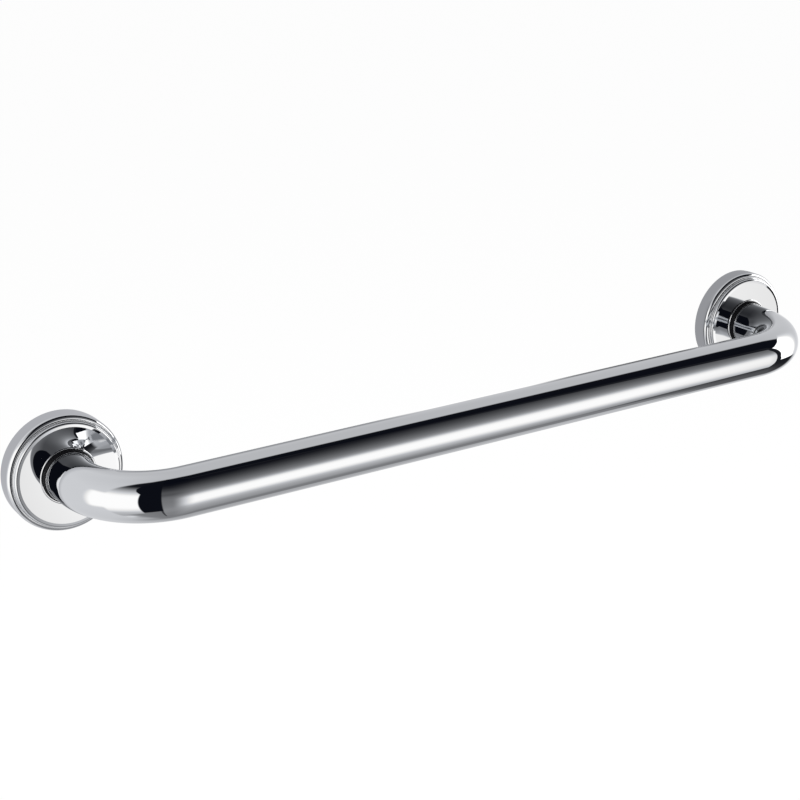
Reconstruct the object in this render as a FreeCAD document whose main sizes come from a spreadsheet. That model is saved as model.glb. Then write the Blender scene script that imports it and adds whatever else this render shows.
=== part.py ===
import FreeCAD, Part
import math
import os
import Sketcher

# Wall-mounted grab bar: a bent chrome tube between two round stepped rosettes.
# Lengths are millimetres. X runs along the bar, +Y goes into the wall, +Z is up.
# The origin lies on the wall's face, half way between the two legs.
# Each piece is drawn about its own leg: "out" is its distance from the wall, along -Y.

SIZES = [
    ("tube_diameter", 25.0, "outside of the bar"),
    ("tube_wall", 1.2, "wall of the bent tube"),
    ("leg_spacing", 439.0, "centre of one leg to centre of the other"),
    ("standoff", 63.0, "wall to the centre line of the bar"),
    ("bend_radius", 39.0, "centre line of the two bends"),
    ("plate_gap", 2.0, "edge of the wall plate to the inside of the rosette"),
    ("plate_thickness", 5.0, "wall plate"),
    ("plate_chamfer", 0.5, "edge of the wall plate"),
    ("boss_wall", 2.45, "raised middle of the plate, round the tube's socket"),
    ("boss_gap", 0.3, "top of the boss to the neck ring"),
    ("socket_web", 2.0, "plate between the bolt's washer and the end of the tube"),
    ("socket_gap", 0.05, "round the tube in its socket"),
    ("screw_edge", 5.5, "middle of a wall screw to the edge of the plate"),
    ("screw_hole", 5.2, "clearance hole for a wall screw"),
    ("screw_sink", 9.6, "countersink for its head"),
    ("bolt_diameter", 8.0, "bolt that draws the tube to the plate"),
    ("bolt_length", 18.0, "under its head"),
    ("bolt_head", 13.0, "diameter of its low head"),
    ("bolt_head_height", 3.0, "extra low head"),
    ("bolt_socket", 5.0, "key size of the hexagon in the head"),
    ("bolt_socket_depth", 1.8, "hexagon in the head"),
    ("bolt_chamfer", 0.6, "head rim and tip of the bolt"),
    ("bolt_recess", 0.4, "head below the back of the plate"),
    ("bolt_gap", 0.25, "round the bolt in the plate"),
    ("thread_gap", 0.05, "round the bolt in the end plug"),
    ("washer_rim", 0.2, "spring lock washer past the bolt's head"),
    ("washer_thickness", 1.6, "spring lock washer"),
    ("washer_gap", 0.2, "round the bolt in the washer"),
    ("washer_split", 1.2, "slot through the spring washer"),
    ("sink_gap", 0.3, "round the washer in its counterbore"),
    ("plug_length", 16.0, "threaded plug in the tube's end"),
    ("plug_chamfer", 0.8, "both ends of the plug"),
    ("press_gap", 0.02, "faces that are pressed together"),
    ("dowel_diameter", 3.0, "pin that keeps the tube from turning"),
    ("dowel_length", 8.0, "same pin"),
    ("dowel_edge", 2.1, "middle of the same pin to the inside of the tube"),
    ("dowel_in_plate", 3.0, "same pin, its depth in the plate"),
    ("dowel_chamfer", 0.4, "ends of the same pin"),
    ("hole_relief", 0.3, "a blind hole past the end of what it holds"),
    ("band_diameter", 60.4, "outer band of the rosette"),
    ("band_side", 7.9, "wall to the start of the band's rounded front"),
    ("band_round", 2.25, "rounded front of the band"),
    ("band_width", 2.0, "side of the band to the groove"),
    ("reveal_width", 0.2, "dark groove inside the band"),
    ("reveal_depth", 0.8, "same groove, from the front of the band"),
    ("tier_step", 0.6, "front of the band to the ledge of the middle tier"),
    ("tier_round", 0.12, "edge of the middle tier"),
    ("ledge_width", 0.7, "ledge, with its edge and the fillet at its foot"),
    ("ledge_fillet", 0.5, "fillet between the ledge and the side of the cap"),
    ("cap_step", 2.1, "ledge to the start of the bevel"),
    ("cap_round", 1.3, "edge of the cap"),
    ("bevel_width", 1.18, "bright bevel round the face"),
    ("bevel_step", 0.16, "start of the bevel to the mirror-flat face"),
    ("neck_hole_round", 0.4, "lip of the hole in the face"),
    ("skirt_wall", 2.1, "outer band of the rosette"),
    ("cap_wall", 1.85, "side of the cap"),
    ("face_wall", 1.6, "face of the rosette"),
    ("inside_bevel", 2.0, "inside corner behind the face"),
    ("gasket_width", 1.1, "rubber ring in the back of the rosette"),
    ("gasket_thickness", 0.8, "same ring"),
    ("gasket_proud", 0.2, "same ring, how far it stands out of its groove"),
    ("collar_wall", 0.4, "thin chrome sleeve on the tube"),
    ("collar_gap", 0.08, "running fit of the sleeve on the tube"),
    ("collar_rise", 0.5, "lip of the sleeve past the neck ring"),
    ("ring_wall", 0.82, "black neck ring between the sleeve and the face"),
    ("ring_rise", 2.4, "face to the top of the neck ring"),
    ("ring_lip", 0.42, "neck ring at its top"),
    ("ring_round", 0.3, "top edge of the neck ring"),
    ("ring_flange", 1.6, "its flange inside the rosette, past the hole"),
    ("ring_flange_depth", 1.08, "same flange"),
    ("grub_diameter", 4.0, "grub screw that locks the rosette"),
    ("grub_length", 3.6, "same screw"),
    ("grub_height", 3.4, "wall to the middle of the screw"),
    ("grub_point", 2.2, "flat point of the screw"),
    ("grub_cone", 0.9, "length of its pointed end"),
    ("grub_key", 2.0, "hexagon in the screw"),
    ("grub_key_depth", 1.6, "same hexagon"),
    ("grub_gap", 0.05, "round the screw in the rosette"),
    ("grub_tip_gap", 0.3, "screw to the edge of the plate"),
    ("overrun", 2.0, "how far a cut runs past the solid"),
]
SCREW_COUNT = 3
VOLUME_SHARE = 0.001
SIDES = (("left", -1), ("right", 1))

doc = FreeCAD.newDocument("GrabBar")
sheet = doc.addObject("Spreadsheet::Sheet", "Sizes")


class Size:
    """A length with its value now and the sheet expression that gives it."""

    def __init__(self, value, text):
        self.value = value
        self.text = text

    def __add__(self, other):
        return Size(self.value + plain(other), f"({self.text} + {words(other)})")

    def __sub__(self, other):
        return Size(self.value - plain(other), f"({self.text} - {words(other)})")

    def __mul__(self, factor):
        return Size(self.value * factor, f"({self.text} * {factor})")

    def __truediv__(self, factor):
        return Size(self.value / factor, f"({self.text} / {factor})")

    def __neg__(self):
        return self * -1


def plain(size):
    """The value of a Size or of a plain zero."""
    return size.value if isinstance(size, Size) else float(size)


def words(size):
    """The sheet expression of a Size or of a plain zero."""
    return size.text if isinstance(size, Size) else str(size)


def fill_sheet():
    """Write every driving dimension to the sheet and return them by name."""
    sizes = {}
    for row, (name, value, note) in enumerate(SIZES, start=1):
        sheet.set(f"A{row}", name)
        sheet.set(f"B{row}", str(value))
        sheet.set(f"C{row}", note)
        sheet.setAlias(f"B{row}", name)
        sizes[name] = Size(value, f"Sizes.{name}")
    doc.recompute()
    return sizes


s = fill_sheet()

# Bodies and sketches
# The section view shows the leg from its side: sketch x is the radius along +X, sketch y is out.
# The upright view is the same, with the radius along +Z. The plan view looks at the wall.
VIEWS = {
    "section": ("XY_Plane", FreeCAD.Rotation(FreeCAD.Vector(1, 0, 0), 180)),
    "upright": ("YZ_Plane", FreeCAD.Rotation(FreeCAD.Vector(0, 0, 1), 90)),
    "plan": ("XZ_Plane", FreeCAD.Rotation()),
}


def new_body(label, across=0, up=0):
    """A body of its own for one piece, moved along X and Z by the given sizes."""
    body = doc.addObject("PartDesign::Body", label)
    body.Label = label
    body.setExpression("Placement.Base.x", words(across))
    body.setExpression("Placement.Base.z", words(up))
    return body


def new_sketch(body, name, view, out=0):
    """A sketch on one of the body's own planes; a plan sketch lies at the given distance out."""
    role, turn = VIEWS[view]
    plane = [item for item in body.Origin.OriginFeatures if item.Role == role][0]
    sketch = body.newObject("Sketcher::SketchObject", name)
    sketch.AttachmentSupport = (plane, [""])
    sketch.MapMode = "FlatFace"
    sketch.AttachmentOffset = FreeCAD.Placement(FreeCAD.Vector(0, 0, plain(out)), turn)
    if isinstance(out, Size):
        sketch.setExpression("AttachmentOffset.Base.z", out.text)
    return sketch


def bind(sketch, kind, *place, size):
    """Add one dimension to a sketch and tie it to its size."""
    index = sketch.addConstraint(Sketcher.Constraint(kind, *place, plain(size)))
    sketch.setExpression(f"Constraints[{index}]", words(size))


def pin_point(sketch, geometry, end, corner):
    """Hold one end of a line or arc at a corner, on an axis where a coordinate is zero."""
    for kind, axis, size in (("DistanceX", -2, corner[0]), ("DistanceY", -1, corner[1])):
        if isinstance(size, Size):
            bind(sketch, kind, -1, 1, geometry, end, size=size)
        else:
            sketch.addConstraint(Sketcher.Constraint("PointOnObject", geometry, end, axis))


def arc_between(start, stop, radius, hollow):
    """Arc from start to stop, its centre left of the way between them, or right of it if hollow."""
    chord = stop - start
    half = chord.Length / 2
    rise = math.sqrt(max(radius * radius - half * half, 0))
    side = FreeCAD.Vector(-chord.y, chord.x, 0).normalize() * (-rise if hollow else rise)
    centre = start + chord / 2 + side
    first, last = (stop, start) if hollow else (start, stop)
    angles = [math.atan2(point.y - centre.y, point.x - centre.x) for point in (first, last)]
    circle = Part.Circle(centre, FreeCAD.Vector(0, 0, 1), radius)
    return Part.ArcOfCircle(circle, angles[0], angles[1])


def draw_outline(sketch, corners, arcs=None):
    """Closed outline through the corners, walked with the material on the left.

    arcs gives the radius of the span after a corner: a Size for a rounded edge, or a pair of
    "hollow" and a Size for one that curves inwards.
    """
    arcs = arcs or {}
    ends = []
    for number, corner in enumerate(corners):
        after = corners[(number + 1) % len(corners)]
        start = FreeCAD.Vector(plain(corner[0]), plain(corner[1]), 0)
        stop = FreeCAD.Vector(plain(after[0]), plain(after[1]), 0)
        bend = arcs.get(number)
        if bend is None:
            geometry = sketch.addGeometry(Part.LineSegment(start, stop))
            ends.append((geometry, 1, 2))
            continue
        hollow = isinstance(bend, tuple)
        radius = bend[1] if hollow else bend
        geometry = sketch.addGeometry(arc_between(start, stop, plain(radius), hollow))
        bind(sketch, "Radius", geometry, size=radius)
        ends.append((geometry, 2, 1) if hollow else (geometry, 1, 2))
    for number, corner in enumerate(corners):
        geometry, first, _ = ends[number]
        before, _, last = ends[number - 1]
        sketch.addConstraint(Sketcher.Constraint("Coincident", before, last, geometry, first))
        pin_point(sketch, geometry, first, corner)


def draw_circle(sketch, across, up, diameter):
    """Circle at a place in a sketch."""
    centre = FreeCAD.Vector(plain(across), plain(up), 0)
    circle = Part.Circle(centre, FreeCAD.Vector(0, 0, 1), plain(diameter) / 2)
    geometry = sketch.addGeometry(circle)
    bind(sketch, "Diameter", geometry, size=diameter)
    pin_point(sketch, geometry, 3, (across, up))


def draw_hexagon(sketch, key):
    """Hexagon for a key, round the sketch's origin, with two of its sides level."""
    reach = key / math.sqrt(3)
    circle = Part.Circle(FreeCAD.Vector(0, 0, 0), FreeCAD.Vector(0, 0, 1), plain(reach))
    guide = sketch.addGeometry(circle, True)
    bind(sketch, "Radius", guide, size=reach)
    sketch.addConstraint(Sketcher.Constraint("Coincident", guide, 3, -1, 1))
    points = []
    for corner in range(6):
        angle = corner * math.pi / 3
        points.append(FreeCAD.Vector(math.cos(angle), math.sin(angle), 0) * plain(reach))
    edges = [sketch.addGeometry(Part.LineSegment(points[i - 1], points[i])) for i in range(6)]
    for i in range(6):
        sketch.addConstraint(Sketcher.Constraint("Coincident", edges[i - 1], 2, edges[i], 1))
        sketch.addConstraint(Sketcher.Constraint("PointOnObject", edges[i], 2, guide))
    for i in range(1, 6):
        sketch.addConstraint(Sketcher.Constraint("Equal", edges[0], edges[i]))
    sketch.addConstraint(Sketcher.Constraint("PointOnObject", edges[0], 2, -1))


def draw_box(sketch, low, high):
    """Rectangle between two corners of a sketch."""
    corners = [low, (high[0], low[1]), high, (low[0], high[1])]
    draw_outline(sketch, corners)


def turned(body, corners, arcs=None, name="Turning"):
    """Solid of revolution about the leg's axis."""
    sketch = new_sketch(body, f"{body.Label}_section", "section")
    draw_outline(sketch, corners, arcs)
    feature = body.newObject("PartDesign::Revolution", f"{body.Label}_{name}")
    feature.Profile = sketch
    feature.ReferenceAxis = (sketch, ["V_Axis"])
    feature.Angle = 360
    sketch.Visibility = False
    return feature


def pocket(body, sketch, name, depth, outwards):
    """Straight cut from a sketch, outwards from the wall or back towards it."""
    feature = body.newObject("PartDesign::Pocket", f"{body.Label}_{name}")
    feature.Profile = sketch
    feature.Type = "Length"
    feature.setExpression("Length", depth.text)
    feature.Reversed = outwards
    sketch.Visibility = False
    return feature


# Places that several pieces share
tube_radius = s["tube_diameter"] / 2
tube_bore = tube_radius - s["tube_wall"]
bend_start = s["standoff"] - s["bend_radius"]
rim_radius = s["band_diameter"] / 2
rim_back = s["gasket_proud"]
skirt_bore = rim_radius - s["skirt_wall"]
band_cut = s["band_round"] - s["band_width"]
band_rise = Size(
    math.sqrt(plain(s["band_round"]) ** 2 - plain(band_cut) ** 2),
    f"sqrt(Sizes.band_round ^ 2 - ({band_cut.text}) ^ 2)",
)
band_height = s["band_side"] + band_rise
tier_height = band_height + s["tier_step"]
cap_height = tier_height + s["cap_step"]
face_height = cap_height + s["bevel_step"]
ceiling = face_height - s["face_wall"]
collar_outside = tube_radius + s["collar_gap"] + s["collar_wall"]
neck_hole = collar_outside + s["ring_wall"]
ring_height = face_height + s["ring_rise"]
flange_top = ceiling - s["press_gap"]
flange_bottom = flange_top - s["ring_flange_depth"]
plate_radius = skirt_bore - s["plate_gap"]
boss_height = flange_bottom - s["boss_gap"]
head_seat = s["bolt_recess"] + s["bolt_head_height"]
sink_depth = head_seat + s["washer_thickness"]
socket_floor = sink_depth + s["socket_web"]
washer_radius = s["bolt_head"] / 2 + s["washer_rim"]
dowel_offset = tube_bore - s["dowel_edge"]


def build_tube():
    """Seamless tube: leg, bend, straight grip, bend and leg, open at both ends."""
    body = new_body("grab_tube")
    half = s["leg_spacing"] / 2
    radius = s["bend_radius"]
    route = new_sketch(body, "grab_tube_route", "section")

    def at(across, out):
        return FreeCAD.Vector(plain(across), plain(out), 0)

    left_leg = route.addGeometry(Part.LineSegment(at(-half, socket_floor), at(-half, bend_start)))
    up = FreeCAD.Vector(0, 0, 1)
    left_round = Part.Circle(at(radius - half, bend_start), up, plain(radius))
    left_bend = route.addGeometry(Part.ArcOfCircle(left_round, math.pi / 2, math.pi))
    grip = Part.LineSegment(at(radius - half, s["standoff"]), at(half - radius, s["standoff"]))
    grip = route.addGeometry(grip)
    right_round = Part.Circle(at(half - radius, bend_start), up, plain(radius))
    right_bend = route.addGeometry(Part.ArcOfCircle(right_round, 0, math.pi / 2))
    right_leg = route.addGeometry(Part.LineSegment(at(half, bend_start), at(half, socket_floor)))
    joins = ((left_leg, 2, left_bend, 2), (left_bend, 1, grip, 1))
    joins = joins + ((grip, 2, right_bend, 2), (right_bend, 1, right_leg, 1))
    for join in joins:
        route.addConstraint(Sketcher.Constraint("Tangent", *join))
    for leg in (left_leg, right_leg):
        route.addConstraint(Sketcher.Constraint("Vertical", leg))
    bind(route, "Radius", left_bend, size=radius)
    bind(route, "Radius", right_bend, size=radius)
    bind(route, "DistanceX", -1, 1, left_leg, 1, size=-half)
    bind(route, "DistanceX", -1, 1, right_leg, 2, size=half)
    bind(route, "DistanceY", -1, 1, left_leg, 1, size=socket_floor)
    bind(route, "DistanceY", -1, 1, right_leg, 2, size=socket_floor)
    bind(route, "DistanceY", -1, 1, grip, 1, size=s["standoff"])

    ring = new_sketch(body, "grab_tube_ring", "plan", out=socket_floor)
    draw_circle(ring, -half, 0, s["tube_diameter"])
    draw_circle(ring, -half, 0, tube_bore * 2)
    pipe = body.newObject("PartDesign::AdditivePipe", "grab_tube_sweep")
    pipe.Profile = ring
    pipe.Spine = (route, ["Edge1", "Edge2", "Edge3", "Edge4", "Edge5"])
    return body


def build_wall_plate(side, place):
    """Steel disc screwed to the wall, with a boss whose socket takes the tube's end."""
    body = new_body(f"{side}_wall_plate", across=place)
    rim = plate_radius
    edge = s["plate_chamfer"]
    thickness = s["plate_thickness"]
    socket = tube_radius + s["socket_gap"]
    boss = socket + s["boss_wall"]
    sink = washer_radius + s["sink_gap"]
    bore = s["bolt_diameter"] / 2 + s["bolt_gap"]
    corners = [
        (sink, 0),
        (rim - edge, 0),
        (rim, edge),
        (rim, thickness - edge),
        (rim - edge, thickness),
        (boss, thickness),
        (boss, boss_height - edge),
        (boss - edge, boss_height),
        (socket, boss_height),
        (socket, socket_floor),
        (bore, socket_floor),
        (bore, sink_depth),
        (sink, sink_depth),
    ]
    turned(body, corners)

    drill = new_sketch(body, f"{side}_screw_hole", "upright")
    circle = plate_radius - s["screw_edge"]
    shank = circle + s["screw_hole"] / 2
    mouth = circle + s["screw_sink"] / 2
    sink_start = thickness - (s["screw_sink"] - s["screw_hole"]) / 2
    draw_outline(drill, [
        (circle, -s["overrun"]),
        (shank, -s["overrun"]),
        (shank, sink_start),
        (mouth, thickness),
        (mouth, thickness + s["overrun"]),
        (circle, thickness + s["overrun"]),
    ])
    top = plain(thickness + s["overrun"])
    low = FreeCAD.Vector(plain(circle), 0, 0)
    high = FreeCAD.Vector(plain(circle), top, 0)
    axis = drill.addGeometry(Part.LineSegment(low, high), True)
    drill.addConstraint(Sketcher.Constraint("Vertical", axis))
    pin_point(drill, axis, 1, (circle, 0))
    bind(drill, "DistanceY", -1, 1, axis, 2, size=thickness + s["overrun"])
    hole = body.newObject("PartDesign::Groove", f"{side}_screw_hole_cut")
    hole.Profile = drill
    hole.ReferenceAxis = (drill, ["Axis0"])
    hole.Angle = 360

    pattern = body.newObject("PartDesign::PolarPattern", f"{side}_screw_holes")
    pattern.Originals = [hole]
    pattern.Axis = ([a for a in body.Origin.OriginFeatures if a.Role == "Y_Axis"][0], [""])
    pattern.Angle = 360
    pattern.Occurrences = SCREW_COUNT
    body.Tip = pattern

    pin = new_sketch(body, f"{side}_plate_dowel_hole", "plan", out=socket_floor)
    draw_circle(pin, 0, dowel_offset, s["dowel_diameter"] + s["press_gap"] * 2)
    pocket(body, pin, "dowel_cut", s["dowel_in_plate"] + s["hole_relief"], outwards=False)
    return body


def build_centre_bolt(side, place):
    """Low-head socket bolt, put in from the wall side."""
    body = new_body(f"{side}_centre_bolt", across=place)
    head = s["bolt_head"] / 2
    shank = s["bolt_diameter"] / 2
    edge = s["bolt_chamfer"]
    back = s["bolt_recess"]
    tip = head_seat + s["bolt_length"]
    corners = [
        (0, back),
        (head - edge, back),
        (head, back + edge),
        (head, head_seat),
        (shank, head_seat),
        (shank, tip - edge),
        (shank - edge, tip),
        (0, tip),
    ]
    turned(body, corners)
    key = new_sketch(body, f"{side}_bolt_key", "plan", out=back)
    draw_hexagon(key, s["bolt_socket"])
    pocket(body, key, "key_cut", s["bolt_socket_depth"], outwards=True)
    return body


def build_lock_washer(side, place):
    """Split spring washer between the bolt's head and the plate."""
    body = new_body(f"{side}_lock_washer", across=place)
    inside = s["bolt_diameter"] / 2 + s["washer_gap"]
    outside = washer_radius
    top = sink_depth
    corners = [(inside, head_seat), (outside, head_seat), (outside, top), (inside, top)]
    turned(body, corners)
    slot = new_sketch(body, f"{side}_washer_slot", "plan", out=head_seat)
    half = s["washer_split"] / 2
    draw_box(slot, (-half, 0), (half, outside + s["overrun"]))
    pocket(body, slot, "slot_cut", s["washer_thickness"] + s["overrun"], outwards=True)
    return body


def build_end_plug(side, place):
    """Steel plug pressed and brazed into the tube's end, threaded for the bolt."""
    body = new_body(f"{side}_tube_end_plug", across=place)
    outside = tube_bore - s["press_gap"]
    inside = s["bolt_diameter"] / 2 + s["thread_gap"]
    edge = s["plug_chamfer"]
    top = socket_floor + s["plug_length"]
    corners = [
        (inside, socket_floor),
        (outside - edge, socket_floor),
        (outside, socket_floor + edge),
        (outside, top - edge),
        (outside - edge, top),
        (inside, top),
    ]
    turned(body, corners)
    pin = new_sketch(body, f"{side}_plug_dowel_hole", "plan", out=socket_floor)
    draw_circle(pin, 0, dowel_offset, s["dowel_diameter"] + s["press_gap"] * 2)
    depth = s["dowel_length"] - s["dowel_in_plate"] + s["hole_relief"]
    pocket(body, pin, "dowel_cut", depth, outwards=True)
    return body


def build_dowel(side, place):
    """Hardened pin across the joint of plug and plate, so that the tube can't turn."""
    body = new_body(f"{side}_dowel_pin", across=place, up=dowel_offset)
    radius = s["dowel_diameter"] / 2
    edge = s["dowel_chamfer"]
    low = socket_floor - s["dowel_in_plate"]
    high = low + s["dowel_length"]
    corners = [
        (0, low),
        (radius - edge, low),
        (radius, low + edge),
        (radius, high - edge),
        (radius - edge, high),
        (0, high),
    ]
    turned(body, corners)
    return body


def build_rosette(side, place):
    """Stepped cover that hides plate and screws: rounded band, groove, ledge, cap and flat face."""
    body = new_body(f"{side}_rosette", across=place)
    band_front = rim_radius - s["band_width"]
    tier = band_front - s["reveal_width"]
    reveal_floor = band_height - s["reveal_depth"]
    cap = tier - s["ledge_width"]
    slant = math.hypot(plain(s["bevel_width"]), plain(s["bevel_step"]))
    slant_text = "sqrt(Sizes.bevel_width ^ 2 + Sizes.bevel_step ^ 2)"
    edge_in = Size(
        plain(s["cap_round"]) * (1 - plain(s["bevel_step"]) / slant),
        f"(Sizes.cap_round * (1 - Sizes.bevel_step / {slant_text}))",
    )
    edge_rise = Size(
        plain(s["cap_round"]) * plain(s["bevel_width"]) / slant,
        f"(Sizes.cap_round * Sizes.bevel_width / {slant_text})",
    )
    bevel = cap - edge_in
    face = bevel - s["bevel_width"]
    lip = s["neck_hole_round"]
    inner = cap - s["cap_wall"]
    gasket_middle = rim_radius - s["skirt_wall"] / 2
    gasket_in = gasket_middle - s["gasket_width"] / 2
    gasket_out = gasket_middle + s["gasket_width"] / 2
    corners = [
        (skirt_bore, rim_back),
        (gasket_in, rim_back),
        (gasket_in, s["gasket_thickness"]),
        (gasket_out, s["gasket_thickness"]),
        (gasket_out, rim_back),
        (rim_radius, rim_back),
        (rim_radius, s["band_side"]),
        (band_front, band_height),
        (band_front, reveal_floor),
        (tier, reveal_floor),
        (tier, tier_height - s["tier_round"]),
        (tier - s["tier_round"], tier_height),
        (cap + s["ledge_fillet"], tier_height),
        (cap, tier_height + s["ledge_fillet"]),
        (cap, cap_height - edge_rise),
        (bevel, cap_height),
        (face, face_height),
        (neck_hole + lip, face_height),
        (neck_hole, face_height - lip),
        (neck_hole, ceiling),
        (inner - s["inside_bevel"], ceiling),
        (inner, ceiling - s["inside_bevel"]),
        (inner, reveal_floor - s["face_wall"]),
        (skirt_bore, reveal_floor - s["face_wall"]),
    ]
    arcs = {
        6: s["band_round"],
        10: s["tier_round"],
        12: ("hollow", s["ledge_fillet"]),
        14: s["cap_round"],
        17: lip,
    }
    turned(body, corners, arcs)
    drill = new_sketch(body, f"{side}_grub_hole", "section")
    draw_circle(drill, 0, s["grub_height"], s["grub_diameter"] + s["grub_gap"] * 2)
    pocket(body, drill, "grub_cut", s["band_diameter"] / 2 + s["overrun"], outwards=True)
    return body


def build_collar(side, place):
    """Thin chrome sleeve that guides the rosette on the tube, with a rounded lip."""
    body = new_body(f"{side}_collar", across=place)
    inside = tube_radius + s["collar_gap"]
    lip = s["collar_wall"] / 2
    top = ring_height + s["collar_rise"]
    corners = [
        (inside, flange_bottom),
        (collar_outside, flange_bottom),
        (collar_outside, top - lip),
        (collar_outside - lip, top),
        (inside, top),
    ]
    turned(body, corners, {2: lip})
    return body


def build_neck_ring(side, place):
    """Black rubber ring pressed into the face's hole, held from inside by its flange."""
    body = new_body(f"{side}_neck_ring", across=place)
    inside = collar_outside + s["press_gap"]
    flange = neck_hole + s["ring_flange"]
    hole = neck_hole - s["press_gap"]
    top = collar_outside + s["ring_lip"]
    edge = s["ring_round"]
    corners = [
        (inside, flange_bottom),
        (flange, flange_bottom),
        (flange, flange_top),
        (hole, flange_top),
        (hole, face_height),
        (top, ring_height - edge),
        (top - edge, ring_height),
        (inside, ring_height),
    ]
    turned(body, corners, {5: edge})
    return body


def build_rim_gasket(side, place):
    """Rubber ring in the back of the rosette, which keeps water from the plate."""
    body = new_body(f"{side}_rim_gasket", across=place)
    middle = rim_radius - s["skirt_wall"] / 2
    inside = middle - s["gasket_width"] / 2 + s["press_gap"]
    outside = middle + s["gasket_width"] / 2 - s["press_gap"]
    edge = s["gasket_proud"]
    top = s["gasket_thickness"] - s["press_gap"]
    corners = [
        (inside + edge, 0),
        (outside - edge, 0),
        (outside, edge),
        (outside, top),
        (inside, top),
        (inside, edge),
    ]
    turned(body, corners)
    return body


def build_grub_screw(side, place):
    """Flat-point grub screw under the rosette, pointing up at the edge of the plate."""
    body = new_body(f"{side}_grub_screw", across=place)
    body.Placement.Rotation = FreeCAD.Rotation(FreeCAD.Vector(1, 0, 0), 90)
    body.setExpression("Placement.Base.y", words(-s["grub_height"]))
    radius = s["grub_diameter"] / 2
    point = s["grub_point"] / 2
    tip = plate_radius + s["grub_tip_gap"]
    end = tip + s["grub_length"]
    corners = [
        (0, tip),
        (point, tip),
        (radius, tip + s["grub_cone"]),
        (radius, end),
        (0, end),
    ]
    turned(body, corners)
    key = new_sketch(body, f"{side}_grub_key", "plan", out=end)
    draw_hexagon(key, s["grub_key"])
    pocket(body, key, "key_cut", s["grub_key_depth"], outwards=False)
    return body


pieces = [build_tube()]
for side, sign in SIDES:
    place = s["leg_spacing"] / 2 * sign
    pieces.append(build_wall_plate(side, place))
    pieces.append(build_centre_bolt(side, place))
    pieces.append(build_lock_washer(side, place))
    pieces.append(build_end_plug(side, place))
    pieces.append(build_dowel(side, place))
    pieces.append(build_rosette(side, place))
    pieces.append(build_collar(side, place))
    pieces.append(build_neck_ring(side, place))
    pieces.append(build_rim_gasket(side, place))
    pieces.append(build_grub_screw(side, place))
doc.recompute()


def check_model():
    """Stop if an object failed, a cut removed nothing, or a piece isn't one valid solid."""
    for item in doc.Objects:
        if "Invalid" in item.State or "Error" in item.State:
            raise RuntimeError(f"{item.Name} failed: {item.State}")
        if item.isDerivedFrom("PartDesign::FeatureSubtractive"):
            if item.Shape.Volume >= item.BaseFeature.Shape.Volume:
                raise RuntimeError(f"{item.Name} cuts nothing")
    for piece in pieces:
        shape = piece.Shape
        if shape.isNull() or not shape.isValid() or len(shape.Solids) != 1:
            raise RuntimeError(f"{piece.Label} isn't one valid solid")
    section = math.pi * (plain(tube_radius) ** 2 - plain(tube_bore) ** 2)
    straight = plain(s["leg_spacing"] - s["bend_radius"] * 2) + 2 * plain(bend_start - socket_floor)
    length = straight + math.pi * plain(s["bend_radius"])
    wanted = section * length
    if abs(pieces[0].Shape.Volume / wanted - 1) > VOLUME_SHARE:
        raise RuntimeError("the tube's volume isn't its section times its length")


check_model()
os.makedirs("parts", exist_ok=True)
for piece in pieces:
    piece.Shape.exportStep(f"parts/{piece.Label}.step")
    print(piece.Label, round(piece.Shape.Volume, 1))
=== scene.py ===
import math
import bpy
import numpy as np
from mathutils import Matrix

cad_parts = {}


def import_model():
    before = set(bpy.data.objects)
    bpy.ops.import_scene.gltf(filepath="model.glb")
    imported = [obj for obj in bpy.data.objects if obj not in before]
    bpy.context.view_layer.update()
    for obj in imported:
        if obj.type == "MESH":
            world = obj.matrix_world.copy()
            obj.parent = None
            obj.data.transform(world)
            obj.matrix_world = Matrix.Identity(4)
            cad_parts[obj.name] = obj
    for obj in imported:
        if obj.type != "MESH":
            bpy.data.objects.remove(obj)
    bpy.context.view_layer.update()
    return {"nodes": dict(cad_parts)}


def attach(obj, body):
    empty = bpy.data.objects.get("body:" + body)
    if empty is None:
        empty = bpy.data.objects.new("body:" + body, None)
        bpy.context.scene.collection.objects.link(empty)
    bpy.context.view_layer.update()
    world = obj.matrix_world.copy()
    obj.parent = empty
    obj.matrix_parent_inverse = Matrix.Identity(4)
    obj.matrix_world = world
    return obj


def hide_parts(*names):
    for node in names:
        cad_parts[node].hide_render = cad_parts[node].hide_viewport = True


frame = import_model()
nodes = frame["nodes"]

# Grab tube: one seamless tube of 25 mm, bent cold round two formers so that it has a straight
# grip and two short legs, then ground, buffed and chrome-plated all over. Its ends stand in the
# sockets of the wall plates.
TUBE_RADIUS = 0.0125
TUBE_WALL = 0.0012
LEG_SPACING = 0.439
STANDOFF = 0.063
BEND_RADIUS = 0.039
TUBE_END = 0.0070
LEG_ROW = 0.02
AROUND_TUBE = 192
BEND_STEPS = 100
BORE_STEPS = 26
WELD_STEPS = 1e7
CHROME = (0.731, 0.742, 0.757)
CHROME_HAZE = 0.008
BUFFING_SCALE = 900
BUFFING_SPREAD = (0.5, 1.6)
RIPPLE_SCALE = 55
RIPPLE_HEIGHT = 0.000012


def grid_quads(points, normals, keep=None):
    """Cells of a surface grid of (rows, columns, 3), each with its four corners and their normals."""
    cells = []
    for grid in (points, normals):
        corners = (grid[:-1, :-1], grid[1:, :-1], grid[1:, 1:], grid[:-1, 1:])
        cells.append(np.stack(corners, axis=2).reshape(-1, 4, 3))
    if keep is not None:
        cells = [part[keep.ravel()] for part in cells]
    return cells


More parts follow.
